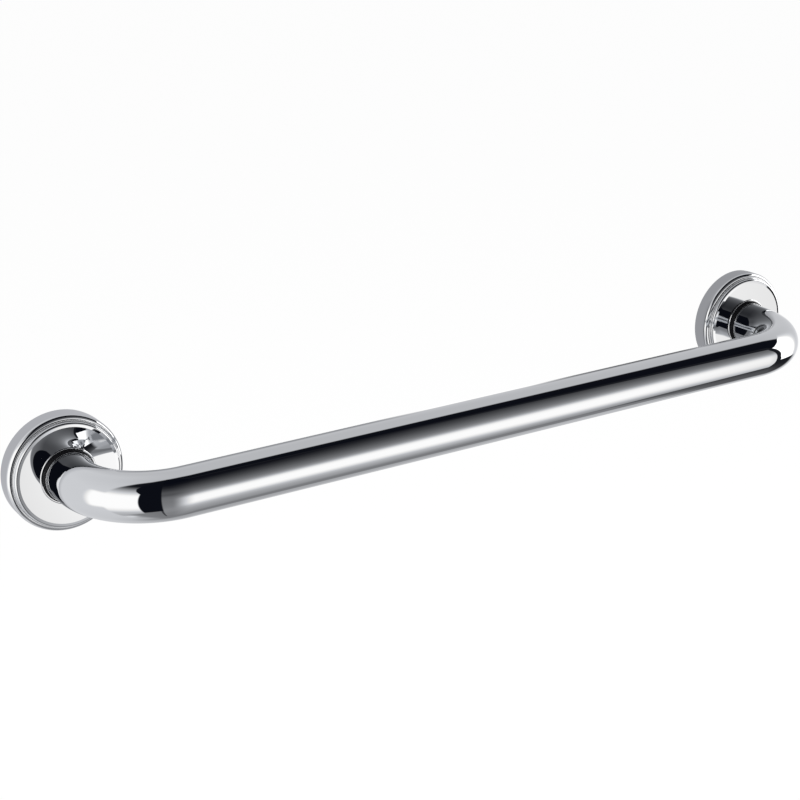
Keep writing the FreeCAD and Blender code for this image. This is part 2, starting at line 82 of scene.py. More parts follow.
def weld(name, patches):
    """One closed mesh from patches of cells: corners that fall on the same step of WELD_STEPS to the
    metre become one vertex, each cell is wound so that it faces the way its normals point, and the
    normals are kept corner by corner."""
    corners = np.concatenate([patch[0] for patch in patches])
    normals = np.concatenate([patch[1] for patch in patches])
    facing = np.cross(corners[:, 2] - corners[:, 0], corners[:, 3] - corners[:, 1])
    wrong = (facing * normals.sum(axis=1)).sum(axis=1) < 0
    corners[wrong] = corners[wrong][:, ::-1]
    normals[wrong] = normals[wrong][:, ::-1]
    keys = np.round(corners.reshape(-1, 3) * WELD_STEPS).astype(np.int64)
    _, first, index = np.unique(keys, axis=0, return_index=True, return_inverse=True)
    vertices = corners.reshape(-1, 3)[first]
    faces = index.reshape(-1, 4)
    mesh = bpy.data.meshes.new(name)
    mesh.from_pydata(vertices.tolist(), [], faces.tolist())
    mesh.polygons.foreach_set("use_smooth", np.ones(len(faces), bool))
    lengths = np.linalg.norm(normals, axis=2, keepdims=True)
    mesh.normals_split_custom_set((normals / lengths).reshape(-1, 3).tolist())
    mesh.update()
    piece = bpy.data.objects.new(name, mesh)
    bpy.context.scene.collection.objects.link(piece)
    return piece


def tube_route(bend_steps):
    """Centre line of the tube: up one leg, a quarter circle, the grip, a quarter circle and down the
    other leg. Gives the points and, for each, the level direction to the outside of the bends."""
    turn = np.linspace(0, math.pi / 2, bend_steps)
    zero = np.zeros(bend_steps)
    outside = np.stack([np.cos(turn), -np.sin(turn), zero], axis=1)
    middle = np.array([LEG_SPACING / 2 - BEND_RADIUS, BEND_RADIUS - STANDOFF, 0])
    bend = middle + BEND_RADIUS * outside
    leg = np.array([[LEG_SPACING / 2, -TUBE_END, 0], [LEG_SPACING / 2, -LEG_ROW, 0]])
    half = np.concatenate([leg, bend])
    out = np.concatenate([np.tile([1.0, 0, 0], (2, 1)), outside])
    flip = np.array([-1.0, 1, 1])
    points = np.concatenate([half, half[::-1] * flip])
    return points, np.concatenate([out, out[::-1] * flip])


def tube_wall(radius, bend_steps):
    """Surface of the tube: a circle of the radius carried square to the centre line, so a point is
    centre + radius * (cos(a) * outside + sin(a) * up)."""
    centre, outside = tube_route(bend_steps)
    angle = np.linspace(0, 2 * math.pi, AROUND_TUBE + 1)
    up = np.array([0, 0, 1.0])
    normal = outside[:, None] * np.cos(angle)[None, :, None] + up * np.sin(angle)[None, :, None]
    return centre[:, None] + radius * normal, normal


def ring_between(outer, inner, normal):
    """Flat ring between two closed rows of points, all facing one way."""
    points = np.stack([outer, inner])
    return points, np.broadcast_to(np.array(normal, float), points.shape).copy()


def noise(tree, coordinates, scale, detail):
    """Soft noise that fills the metal's own space at a scale per metre."""
    texture = tree.nodes.new("ShaderNodeTexNoise")
    texture.inputs["Scale"].default_value = scale
    texture.inputs["Detail"].default_value = detail
    tree.links.new(coordinates, texture.inputs["Vector"])
    return texture.outputs["Fac"]


def spread_about(tree, value, middle, spread):
    """A value from 0 to 1 carried to the span from middle * spread[0] to middle * spread[1]."""
    span = tree.nodes.new("ShaderNodeMapRange")
    span.inputs["To Min"].default_value = middle * spread[0]
    span.inputs["To Max"].default_value = middle * spread[1]
    tree.links.new(value, span.inputs["Value"])
    return span.outputs["Result"]


def bump(tree, value, shader, height):
    """Relief of a height in metres on a shader."""
    relief = tree.nodes.new("ShaderNodeBump")
    relief.inputs["Distance"].default_value = height
    tree.links.new(value, relief.inputs["Height"])
    tree.links.new(relief.outputs["Normal"], shader.inputs["Normal"])


def new_material(name, colour, metallic):
    """A material with its shader and the piece's own coordinates."""
    material = bpy.data.materials.new(name)
    material.use_nodes = True
    tree = material.node_tree
    shader = tree.nodes["Principled BSDF"]
    shader.inputs["Base Color"].default_value = (*colour, 1)
    shader.inputs["Metallic"].default_value = metallic
    material.diffuse_color = (*colour, 1)
    place = tree.nodes.new("ShaderNodeTexCoord")
    return material, tree, shader, place.outputs["Object"]


def bright_chrome(name, colour, haze):
    """Bright chrome: a mirror with the faint haze of buffing and the long ripple of the metal below."""
    material, tree, shader, place = new_material(name, colour, 1.0)
    buffing = noise(tree, place, BUFFING_SCALE, detail=3)
    tree.links.new(spread_about(tree, buffing, haze, BUFFING_SPREAD), shader.inputs["Roughness"])
    ripple = noise(tree, place, RIPPLE_SCALE, detail=1)
    bump(tree, ripple, shader, RIPPLE_HEIGHT)
    return material


INTO_WALL = (0, 1, 0)
outer, outer_normal = tube_wall(TUBE_RADIUS, BEND_STEPS)
inner, inner_normal = tube_wall(TUBE_RADIUS - TUBE_WALL, BORE_STEPS)
patches = [
    grid_quads(outer, outer_normal),
    grid_quads(inner, -inner_normal),
    grid_quads(*ring_between(outer[0], inner[0], INTO_WALL)),
    grid_quads(*ring_between(outer[-1], inner[-1], INTO_WALL)),
]
tube = weld("grab_tube_polished", patches)
tube.data.materials.append(bright_chrome("tube_chrome", CHROME, CHROME_HAZE))
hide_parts("grab_tube")
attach(tube, "bar")

# Wall plates: turned steel discs with a raised socket for the tube's end and three countersunk
# screw holes, zinc-plated. They are screwed to the wall and hidden by the rosettes. The steel of a
# piece is its colour, the pitch of its turning and its roughness.
LEGS = (("left", -LEG_SPACING / 2), ("right", LEG_SPACING / 2))
PLATE_STEEL = ((0.62, 0.63, 0.65), 0.0012, 0.3)
PLATING_SCALE = 160
PLATING_SPREAD = (0.75, 1.3)
RING_WAVER = 0.6
RING_HEIGHT = 0.000025


def turned_steel(name, leg, colour, pitch, roughness, out=0):
    """Turned steel: fine rings at a pitch round the leg, centred at a distance from the wall, and a
    cloudy plating over them."""
    material, tree, shader, place = new_material(name, colour, 1.0)
    shift = tree.nodes.new("ShaderNodeMapping")
    shift.inputs["Location"].default_value = (-leg, out, 0)
    tree.links.new(place, shift.inputs["Vector"])
    rings = tree.nodes.new("ShaderNodeTexWave")
    rings.wave_type = "RINGS"
    rings.rings_direction = "Y"
    rings.inputs["Scale"].default_value = 1 / pitch
    rings.inputs["Distortion"].default_value = RING_WAVER
    tree.links.new(shift.outputs["Vector"], rings.inputs["Vector"])
    clouds = noise(tree, place, PLATING_SCALE, detail=4)
    tree.links.new(spread_about(tree, clouds, roughness, PLATING_SPREAD), shader.inputs["Roughness"])
    bump(tree, rings.outputs["Fac"], shader, RING_HEIGHT)
    return material


for side, leg in LEGS:
    plate = nodes[f"{side}_wall_plate"]
    plate.data.materials.clear()
    plate.data.materials.append(turned_steel(f"{side}_zinc_plate", leg, *PLATE_STEEL))

# Bolt, spring washer, end plug and dowel: bought and turned steel parts. The bolt is put in from
# the wall side through plate and washer into the plug in the tube; the dowel stops it turning.
STEELS = (
    ("centre_bolt", (0.55, 0.56, 0.58), 0.0009, 0.34),
    ("lock_washer", (0.48, 0.48, 0.50), 0.0007, 0.42),
    ("tube_end_plug", (0.58, 0.58, 0.60), 0.0010, 0.36),
    ("dowel_pin", (0.66, 0.66, 0.68), 0.0006, 0.22),
)
for side, leg in LEGS:
    for kind, colour, pitch, roughness in STEELS:
        part = nodes[f"{side}_{kind}"]
        part.data.materials.clear()
        part.data.materials.append(turned_steel(f"{side}_{kind}_steel", leg, colour, pitch, roughness))

# Rosettes: stepped covers pressed and turned from brass, buffed and chrome-plated. Each slides
# on its leg, hides the wall plate and is locked by a small screw from below.
AROUND_ROSETTE = 720
ARC_STEP = 0.00012
NO_LENGTH = 1e-9
GRUB_HEIGHT = 0.0034
GRUB_HOLE = 0.00205
SKIRT_HEIGHT = 0.005
WINDOW_COLUMNS = 10
WINDOW_LAYERS = 8
WINDOW_HALF = 0.0026
WINDOW_SHARES = (0.3, 0.6, 0.85, 1.0)


def rounded(corners):
    """Outline of straight spans whose corners are rounded by tangent arcs.

    Each corner is (radius from the leg's axis, distance from the wall, rounding), and the material
    lies on the left of the way round. Gives, for each arc and each straight span, its points and the
    normal at each."""
    count = len(corners)
    starts, ends, arcs, spans = [], [], [], []
    for number in range(count):
        here = np.array(corners[number][:2])
        before = np.array(corners[number - 1][:2]) - here
        after = np.array(corners[(number + 1) % count][:2]) - here
        before = before / np.linalg.norm(before)
        after = after / np.linalg.norm(after)
        radius = corners[number][2]
        half = math.acos(max(-1, min(1, float(before @ after)))) / 2
        reach = radius / math.tan(half) if radius else 0
        first = here + before * reach
        last = here + after * reach
        starts.append(first)
        ends.append(last)
        if radius:
            centre = here + (before + after) / np.linalg.norm(before + after) * radius / math.sin(half)
            hollow = before[0] * after[1] - before[1] * after[0] > 0
            a = math.atan2(*(first - centre)[::-1])
            b = math.atan2(*(last - centre)[::-1])
            turn = (b - a + math.pi) % (2 * math.pi) - math.pi
            steps = max(4, int(abs(turn) * radius / ARC_STEP))
            angles = a + turn * np.linspace(0, 1, steps + 1)
            way = np.stack([np.cos(angles), np.sin(angles)], axis=1)
            arcs.append((centre + radius * way, way * (-1 if hollow else 1)))
        else:
            arcs.append(None)
    for number in range(count):
        if arcs[number]:
            spans.append(arcs[number])
        line = np.stack([ends[number], starts[(number + 1) % count]])
        along = line[1] - line[0]
        if np.linalg.norm(along) > NO_LENGTH:
            normal = np.array([along[1], -along[0]]) / np.linalg.norm(along)
            spans.append((line, np.stack([normal, normal])))
    return spans


def swept_round(leg, points, normals, around):
    """Surface of a profile turned round the leg: (leg + r * cos(a), -out, r * sin(a))."""
    angle = np.linspace(0, 2 * math.pi, around + 1) - math.pi / 2
    angle[-1] = angle[0]
    cos = np.cos(angle)[None, :]
    sin = np.sin(angle)[None, :]
    r = points[:, 0][:, None]
    out = np.broadcast_to(points[:, 1][:, None], (len(points), around + 1))
    place = np.stack([leg + r * cos, -out, r * sin], axis=2)
    n = normals[:, 0][:, None]
    face = np.stack([n * cos, np.broadcast_to(-normals[:, 1][:, None], out.shape), n * sin], axis=2)
    return place, face


def turned_piece(name, leg, corners, around):
    """Closed ring turned from an outline of rounded corners."""
    patches = [grid_quads(*swept_round(leg, *span, around)) for span in rounded(corners)]
    return weld(name, patches)


def pierced_wall(leg, points, normals, around, turns=None):
    """Straight wall of a turned piece with a round hole from below.

    A window of whole cells is left out of the wall. Rings of cells fill it, from its edge to the
    hole: (leg + x, -h, -sqrt(r * r - x * x)) with (x, h) going straight from the edge to the circle
    (GRUB_HOLE * cos(t), GRUB_HEIGHT + GRUB_HOLE * sin(t)). Gives the patches, the circle and t."""
    r = points[0][0]
    facing = normals[0][0]
    ends = sorted((points[0][1], points[1][1]))
    rows = np.linspace(GRUB_HEIGHT - WINDOW_HALF, GRUB_HEIGHT + WINDOW_HALF, WINDOW_LAYERS + 1)
    heights = np.concatenate([ends[:1], rows, ends[1:]])
    line = np.stack([np.full(len(heights), r), heights], axis=1)
    place, face = swept_round(leg, line, np.tile(normals[:1], (len(heights), 1)), around)
    keep = np.ones((len(heights) - 1, around), bool)
    keep[1:-1, :WINDOW_COLUMNS] = False
    keep[1:-1, -WINDOW_COLUMNS:] = False
    low, high = 1, len(heights) - 2
    across = list(range(-WINDOW_COLUMNS, WINDOW_COLUMNS + 1))
    rim = [(low, c) for c in across] + [(k, WINDOW_COLUMNS) for k in range(low + 1, high)]
    rim += [(high, c) for c in reversed(across)] + [(k, -WINDOW_COLUMNS) for k in range(high - 1, low, -1)]
    edge = np.array([place[k, c % around] for k, c in rim + rim[:1]])
    x = edge[:, 0] - leg
    h = -edge[:, 1]
    if turns is None:
        turns = np.arctan2(h - GRUB_HEIGHT, x)
    layers = [edge]
    for share in WINDOW_SHARES:
        way_x = x + (GRUB_HOLE * np.cos(turns) - x) * share
        way_h = h + (GRUB_HEIGHT + GRUB_HOLE * np.sin(turns) - h) * share
        layers.append(np.stack([leg + way_x, -way_h, -np.sqrt(r * r - way_x * way_x)], axis=1))
    filled = np.stack(layers)
    out = filled - np.array([leg, 0, 0])
    out[:, :, 1] = 0
    patches = [grid_quads(place, face, keep), grid_quads(filled, out * facing)]
    return patches, filled[-1], turns


def pierced_cover(name, leg, corners, around):
    """Cover turned from an outline, with the screw's hole through the two walls of its skirt, which
    are the upright spans longer than SKIRT_HEIGHT."""
    patches, circles = [], []
    turns = None
    for points, normals in rounded(corners):
        width, height = np.abs(points[-1] - points[0])
        if width == 0 and height > SKIRT_HEIGHT:
            wall, circle, turns = pierced_wall(leg, points, normals, around, turns)
            patches += wall
            circles.append(circle)
        else:
            patches.append(grid_quads(*swept_round(leg, points, normals, around)))
    inward = np.stack([-np.cos(turns), np.sin(turns), np.zeros(len(turns))], axis=1)
    patches.append(grid_quads(np.stack(circles), np.stack([inward, inward])))
    return weld(name, patches)


ROSETTE = (
    (0.02810, 0.000200, 0.00010),
    (0.02860, 0.000200, 0.00000),
    (0.02860, 0.000800, 0.00000),
    (0.02970, 0.000800, 0.00000),
    (0.02970, 0.000200, 0.00000),
    (0.03020, 0.000200, 0.00010),
    (0.03020, 0.009912, 0.00225),
    (0.02820, 0.010136, 0.00000),
    (0.02820, 0.009336, 0.00000),
    (0.02800, 0.009336, 0.00000),
    (0.02800, 0.010736, 0.00012),
    (0.02730, 0.010736, 0.00050),
    (0.02730, 0.012683, 0.00130),
    (0.02499, 0.012996, 0.00000),
    (0.01470, 0.012996, 0.00010),
    (0.01440, 0.013380, 0.00035),
    (0.01380, 0.013380, 0.00012),
    (0.01380, 0.011396, 0.00000),
    (0.02345, 0.011396, 0.00000),
    (0.02545, 0.009396, 0.00000),
    (0.02545, 0.007736, 0.00000),
    (0.02810, 0.007736, 0.00000),
)

for side, leg in LEGS:
    cover = pierced_cover(f"{side}_rosette_polished", leg, ROSETTE, AROUND_ROSETTE)
    cover.data.materials.append(bright_chrome(f"{side}_rosette_chrome", CHROME, CHROME_HAZE))
    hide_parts(f"{side}_rosette")
    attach(cover, f"{side}_cover")

# Sleeve and neck ring: a thin chrome sleeve guides the rosette on the tube, and a black rubber
# ring pressed into the hole of the face keeps water out round it.
AROUND_NECK = 480
SLEEVE_HAZE = 0.012
RUBBER_GLOSS = 0.1
BLOOM_SCALE = 700
BLOOM_SPREAD = (0.8, 1.25)
BLOOM_HEIGHT = 0.00001
NECK_RUBBER = ((0.004, 0.004, 0.005), 0.42)
SLEEVE = (
    (0.01258, 0.010296, 0.0),
    (0.01298, 0.010296, 0.0),
    (0.01298, 0.015896, 0.00006),
    (0.01258, 0.015896, 0.00030),
)
NECK_RING = (
    (0.0130, 0.010296, 0.0),
    (0.0154, 0.010296, 0.0002),
    (0.0154, 0.011376, 0.0002),
    (0.01378, 0.011376, 0.0),
    (0.01378, 0.013380, 0.0001),
    (0.01348, 0.015396, 0.0003),
    (0.0130, 0.015820, 0.0),
)


def black_rubber(name, colour, roughness):
    """Moulded rubber: nearly black, with a fine bloom that makes its gloss uneven."""
    material, tree, shader, place = new_material(name, colour, 0.0)
    shader.inputs["Specular IOR Level"].default_value = RUBBER_GLOSS
    bloom = noise(tree, place, BLOOM_SCALE, detail=4)
    tree.links.new(spread_about(tree, bloom, roughness, BLOOM_SPREAD), shader.inputs["Roughness"])
    bump(tree, bloom, shader, BLOOM_HEIGHT)
    return material


for side, leg in LEGS:
    sleeve = turned_piece(f"{side}_sleeve_polished", leg, SLEEVE, AROUND_NECK)
    sleeve.data.materials.append(bright_chrome(f"{side}_sleeve_chrome", CHROME, SLEEVE_HAZE))
    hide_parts(f"{side}_collar")
    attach(sleeve, f"{side}_cover")
    ring = turned_piece(f"{side}_neck_ring_rubber", leg, NECK_RING, AROUND_NECK)
    ring.data.materials.append(black_rubber(f"{side}_neck_rubber", *NECK_RUBBER))
    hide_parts(f"{side}_neck_ring")
    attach(ring, f"{side}_cover")

# Wall gasket: a moulded ring of soft rubber, pressed into the groove in the rosette's back edge. It
# lies against the wall and keeps water from running in behind the cover.
AROUND_GASKET = 192
GASKET_RUBBER = ((0.03, 0.03, 0.032), 0.6)
GASKET = (
    (0.02862, 0.0, 0.0002),
    (0.02968, 0.0, 0.0002),
    (0.02968, 0.00078, 0.0),
    (0.02862, 0.00078, 0.0),
)
for side, leg in LEGS:
    gasket = turned_piece(f"{side}_gasket_rubber", leg, GASKET, AROUND_GASKET)
    gasket.data.materials.append(black_rubber(f"{side}_gasket_rubber", *GASKET_RUBBER))
    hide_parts(f"{side}_rim_gasket")
    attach(gasket, f"{side}_cover")

# Grub screws: small stainless screws with a hexagon in their ends. They stand in the rosettes' skirts
# from below and lock them over the wall plates.
GRUB_STEEL = ((0.45, 0.45, 0.47), 0.0005, 0.3)
for side, leg in LEGS:
    screw = nodes[f"{side}_grub_screw"]
    screw.data.materials.clear()
    screw.data.materials.append(turned_steel(f"{side}_grub_steel", leg, *GRUB_STEEL, out=GRUB_HEIGHT))

# Studio: a pale floor far below and a soft lamp overhead, in plain white surroundings. The floor is
# clear from below, so that the bar can be looked at from there.
FLOOR_LEVEL = -0.3
FLOOR_HALF = 4.5
FLOOR_PAINT = (0.9, 0.9, 0.9, 1)
FLOOR_WHITE = 0.8
LAMP_SIZE = (1.6, 1.2)
LAMP_WATTS = 9
LAMP_PLACE = (-0.2, -0.5, 1.3)
LAMP_TILT = math.radians(-20)


def plain_sheet(name, corners, faces):
    """Object from corners in metres and the faces between them."""
    mesh = bpy.data.meshes.new(name)
    mesh.from_pydata(corners, [], faces)
    sheet = bpy.data.objects.new(name, mesh)
    bpy.context.scene.collection.objects.link(sheet)
    return sheet


def bare_material(name):
    """Material without a shader, with its tree and the socket for what it shows."""
    material = bpy.data.materials.new(name)
    material.use_nodes = True
    tree = material.node_tree
    tree.nodes.remove(tree.nodes["Principled BSDF"])
    return material, tree, tree.nodes["Material Output"].inputs["Surface"]


def set_socket(tree, socket, value):
    """A number, a colour or another node's output put into a socket."""
    if isinstance(value, (int, float, tuple)):
        socket.default_value = value
    else:
        tree.links.new(value, socket)


def calc(tree, operation, *values):
    """One step of arithmetic on numbers or outputs."""
    step = tree.nodes.new("ShaderNodeMath")
    step.operation = operation
    for socket, value in zip(step.inputs, values):
        set_socket(tree, socket, value)
    return step.outputs[0]


def mixed(tree, share, first, second):
    """Two shaders mixed: the first alone at share 0, the second alone at share 1."""
    mixer = tree.nodes.new("ShaderNodeMixShader")
    for socket, value in zip(mixer.inputs, (share, first, second)):
        tree.links.new(value, socket)
    return mixer.outputs[0]


floor_corners = [(x, y, FLOOR_LEVEL) for x, y in
                 ((-FLOOR_HALF, -FLOOR_HALF), (FLOOR_HALF, -FLOOR_HALF),
                  (FLOOR_HALF, FLOOR_HALF), (-FLOOR_HALF, FLOOR_HALF))]
floor = plain_sheet("studio_floor", floor_corners, [(0, 1, 2, 3)])
paper, tree, surface = bare_material("white_floor")
matt = tree.nodes.new("ShaderNodeBsdfDiffuse")
matt.inputs["Color"].default_value = FLOOR_PAINT
white = tree.nodes.new("ShaderNodeEmission")
clear = tree.nodes.new("ShaderNodeBsdfTransparent")
path = tree.nodes.new("ShaderNodeLightPath")
under = tree.nodes.new("ShaderNodeNewGeometry")
whiter = calc(tree, "MULTIPLY", path.outputs["Is Camera Ray"], FLOOR_WHITE)
above = mixed(tree, whiter, matt.outputs[0], white.outputs[0])
tree.links.new(mixed(tree, under.outputs["Backfacing"], above, clear.outputs[0]), surface)
floor.data.materials.append(paper)
floor.visible_glossy = False

lamp = bpy.data.lights.new("overhead_box", "AREA")
lamp.shape = "RECTANGLE"
lamp.size, lamp.size_y = LAMP_SIZE
lamp.energy = LAMP_WATTS
overhead = bpy.data.objects.new("overhead_box", lamp)
overhead.location = LAMP_PLACE
overhead.rotation_euler = (LAMP_TILT, 0, 0)
overhead.visible_glossy = False
bpy.context.scene.collection.objects.link(overhead)

world = bpy.data.worlds.new("studio")
bpy.context.scene.world = world
world.use_nodes = True
world.node_tree.nodes["Background"].inputs["Color"].default_value = (1, 1, 1, 1)
world.node_tree.nodes["Background"].inputs["Strength"].default_value = 1

# Room: soft boxes, a grey panel, black cloth and the paper behind, about an arm's length and a half
# away. Only polished metal mirrors them. They are placed by degrees of turn from the room side and
# of lift, and their levels are given as (direction, level) from one direction to the next.
ROOM_RADIUS = 1.3
ROOM_CENTRE = (0.0, -0.04, 0.0)
ROOM_GLOW = 1.25
ROOM_ROWS = 24
ROOM_COLUMNS = 48
EDGE = 0.8
BLACK_CLOTH = 0.004
FLOOR_STREAK = 0.27
FLOOR_DARK_LINE = 0.05
NEAR_FLOOR = 0.21
PAPER_GLARE = 0.996
BLACK_GAP = 0.011
WARM_FROM, WARM_TO = 0.68, 0.85
COOL = (0.985, 0.99, 1.01)
WARM = (1.0, 0.985, 0.965)
VEIL = (0.0, 0.0006, 0.0036)


def room_ball(radius, centre, rows, columns):
    """Corners and faces of a ball, with one corner at each pole:
    centre + radius * (cos(lift) * cos(turn), cos(lift) * sin(turn), sin(lift))."""
    lift = np.pi * (np.arange(1, rows) / rows - 0.5)[:, None]
    turn = 2 * np.pi * np.arange(columns)[None, :] / columns
    way = np.stack([np.cos(lift) * np.cos(turn), np.cos(lift) * np.sin(turn),
                    np.broadcast_to(np.sin(lift), (rows - 1, columns))], axis=2)
    poles = np.array([(0, 0, -1.0), (0, 0, 1.0)])
    corners = np.array(centre) + radius * np.concatenate([way.reshape(-1, 3), poles])
    grid = np.arange((rows - 1) * columns).reshape(rows - 1, columns)
    after = np.roll(grid, -1, axis=1)
    foot, top = np.full(columns, grid.size), np.full(columns, grid.size + 1)
    quads = np.stack([grid[:-1], grid[1:], after[1:], after[:-1]], axis=2).reshape(-1, 4)
    ends = np.concatenate([np.stack([foot, grid[0], after[0]], axis=1),
                           np.stack([grid[-1], top, after[-1]], axis=1)])
    return corners.tolist(), quads.tolist() + ends.tolist()


def only_mirrored(sheet, material):
    """Give a stage sheet its material and hide it from all but reflections."""
    sheet.data.materials.append(material)
    material.cycles.emission_sampling = "NONE"
    for kind in ("camera", "diffuse", "transmission", "volume_scatter", "shadow"):
        setattr(sheet, f"visible_{kind}", False)


def rise(tree, value, start, stop):
    """Smooth step from 0 at start to 1 at stop, either way round."""
    if start > stop:
        return calc(tree, "SUBTRACT", 1, rise(tree, value, stop, start))
    step = tree.nodes.new("ShaderNodeMapRange")
    step.interpolation_type = "SMOOTHSTEP"
    step.inputs["From Min"].default_value = start
    step.inputs["From Max"].default_value = stop
    tree.links.new(value, step.inputs["Value"])
    return step.outputs["Result"]


def before(tree, value, limit):
    """1 where a value is below another, 0 above it, over a narrow edge."""
    return rise(tree, calc(tree, "SUBTRACT", limit, value), -EDGE, EDGE)


def close_to(tree, value, middle, outer, inner):
    """1 where a value is nearer than inner to a middle, 0 where it is farther than outer."""
    return rise(tree, calc(tree, "ABSOLUTE", calc(tree, "SUBTRACT", value, middle)), outer, inner)


def product(tree, *values):
    """All the values multiplied."""
    total = values[0]
    for value in values[1:]:
        total = calc(tree, "MULTIPLY", total, value)
    return total


def over(tree, below, above, cover):
    """What lies above hides what lies below as far as it covers it."""
    blend = tree.nodes.new("ShaderNodeMix")
    blend.data_type = "FLOAT"
    numbers = [socket for socket in blend.inputs if socket.type == "VALUE"]
    for name, value in (("Factor", cover), ("A", below), ("B", above)):
        set_socket(tree, [socket for socket in numbers if socket.name == name][0], value)
    return [socket for socket in blend.outputs if socket.type == "VALUE"][0]


def profile(tree, value, points):
    """Level along one direction, straight between the given (direction, level) points."""
    total = points[0][1]
    for (a, low), (b, high) in zip(points, points[1:]):
        step = tree.nodes.new("ShaderNodeMapRange")
        step.inputs["From Min"].default_value = a
        step.inputs["From Max"].default_value = b
        step.inputs["To Min"].default_value = 0
        step.inputs["To Max"].default_value = high - low
        tree.links.new(value, step.inputs["Value"])
        total = calc(tree, "ADD", step.outputs["Result"], total)
    return total


room = plain_sheet("studio_room", *room_ball(ROOM_RADIUS, ROOM_CENTRE, ROOM_ROWS, ROOM_COLUMNS))
lining, air, surface = bare_material("room_lining")
only_mirrored(room, lining)
where = air.nodes.new("ShaderNodeTexCoord")
centred = air.nodes.new("ShaderNodeVectorMath")
centred.operation = "SUBTRACT"
centred.inputs[1].default_value = ROOM_CENTRE
air.links.new(where.outputs["Object"], centred.inputs[0])
way = air.nodes.new("ShaderNodeVectorMath")
way.operation = "NORMALIZE"
air.links.new(centred.outputs[0], way.inputs[0])
split = air.nodes.new("ShaderNodeSeparateXYZ")
air.links.new(way.outputs[0], split.inputs[0])
x, y, z = split.outputs
turn = calc(air, "DEGREES", calc(air, "ARCTAN2", x, calc(air, "MULTIPLY", y, -1)))
lift = calc(air, "DEGREES", calc(air, "ARCSINE", z))

# Black cloth in front and overhead, over a grey floor with a streak of light from the left box.
floor_tone = profile(air, turn, [
    (-120, 0.604), (-110, 0.597), (-100, 0.481), (-88, 0.44), (-70, 0.435), (-62, 0.33), (-54, 0.229),
    (-30, 0.196), (56, 0.218), (64, 0.203), (96, 0.233), (104, 0.32), (112, 0.412), (120, 0.481)])
floor_tone = over(air, floor_tone, NEAR_FLOOR, rise(air, lift, -74, -86))
streak = product(air, close_to(air, turn, -78, 18, 6), close_to(air, lift, -60, 7, 1), FLOOR_STREAK)
floor_tone = calc(air, "ADD", floor_tone, streak)
# A thin dark line runs across the grey floor at one turn, except straight below.
dark_line_cover = product(air, close_to(air, turn, -24, 2.2, 0.8), rise(air, lift, -80, -76))
floor_tone = over(air, floor_tone, FLOOR_DARK_LINE, dark_line_cover)
level = over(air, BLACK_CLOTH, floor_tone, rise(air, lift, -43, -47))

# Left soft box, with a fall-off upwards and a duller foot.
left_tone = profile(air, lift, [
    (-50, 0.446), (-40, 0.524), (-30, 0.889), (-22, 1.052), (-16, 1.071), (20, 1.071), (25, 0.996),
    (30, 0.79), (40, 0.458), (45, 0.315), (50, 0.172), (55, 0.052), (60, 0.006)])
left_edge = profile(air, lift, [(30, -45.5), (40, -52), (50, -56)])
level = over(air, level, left_tone, product(air, before(air, turn, left_edge), rise(air, lift, -49, -46)))

# Paper behind and over the object, lit a little more where the boxes reach it, and the end of the
# left box in front of it.
paper_edge = profile(air, x, [
    (-0.985, -0.17), (-0.49, -0.087), (-0.34, -0.053), (-0.17, -0.045), (0.17, 0.042), (0.34, 0.048),
    (0.5, 0.026), (0.64, 0.011), (0.72, 0.025)])
left_paper = profile(air, lift, [
    (-90, 0.169), (-80, 0.335), (-70, 0.531), (-60, 0.604), (-30, 0.653), (30, 0.653), (60, 0.597),
    (80, 0.531), (90, 0.493)])
right_paper = profile(air, lift, [
    (-90, 0.169), (-80, 0.375), (-70, 0.407), (-60, 0.423), (-50, 0.518), (-40, 0.531), (-30, 0.61),
    (-16, 0.675), (-6, 0.624), (0, 0.577), (20, 0.544), (45, 0.506), (90, 0.518)])
paper_tone = over(air, left_paper, right_paper, rise(air, x, -0.2, 0.2))
glare_cover = product(air, close_to(air, turn, 144, 24, 12), close_to(air, lift, -15, 22, 12))
paper_tone = over(air, paper_tone, PAPER_GLARE, glare_cover)
level = over(air, level, paper_tone, rise(air, calc(air, "SUBTRACT", y, paper_edge), -0.04, 0.04))
end_cover = product(air, rise(air, turn, -101, -91), rise(air, turn, -60, -70),
                    rise(air, lift, -28, -18), rise(air, lift, 30, 22))
level = over(air, level, left_tone, end_cover)

# Grey panel in front on the right, with a hot spot of light that grows to its right.
dull_side = profile(air, lift, [
    (-80, 0.196), (-70, 0.226), (-60, 0.229), (-50, 0.258), (-40, 0.262), (-30, 0.226), (-10, 0.192),
    (0, 0.185), (10, 0.156), (20, 0.087), (30, 0.087), (40, 0.044), (50, 0.016), (60, 0.005), (70, 0.003)])
bright_side = profile(air, lift, [
    (-80, 0.226), (-70, 0.27), (-60, 0.325), (-50, 0.391), (-40, 0.531), (-30, 0.924), (-24, 1.052),
    (-10, 1.062), (-5, 1.033), (0, 0.916), (5, 0.597), (10, 0.349), (15, 0.245), (20, 0.179), (30, 0.111),
    (40, 0.062), (50, 0.028), (60, 0.007), (70, 0.003)])
panel_tone = over(air, dull_side, bright_side, rise(air, turn, -13, 16))
panel_tone = product(air, panel_tone, profile(air, turn, [(42, 1.0), (56, 0.76)]))
panel_edge = profile(air, lift, [
    (-24, 62), (-20, 61.5), (-16, 60), (-8, 58.7), (0, 58.5), (8, 56.5), (20, 53)])
panel_cover = product(air, rise(air, turn, -23.3, -21.7), before(air, turn, panel_edge),
                      rise(air, lift, -84, -76))
level = over(air, level, panel_tone, panel_cover)

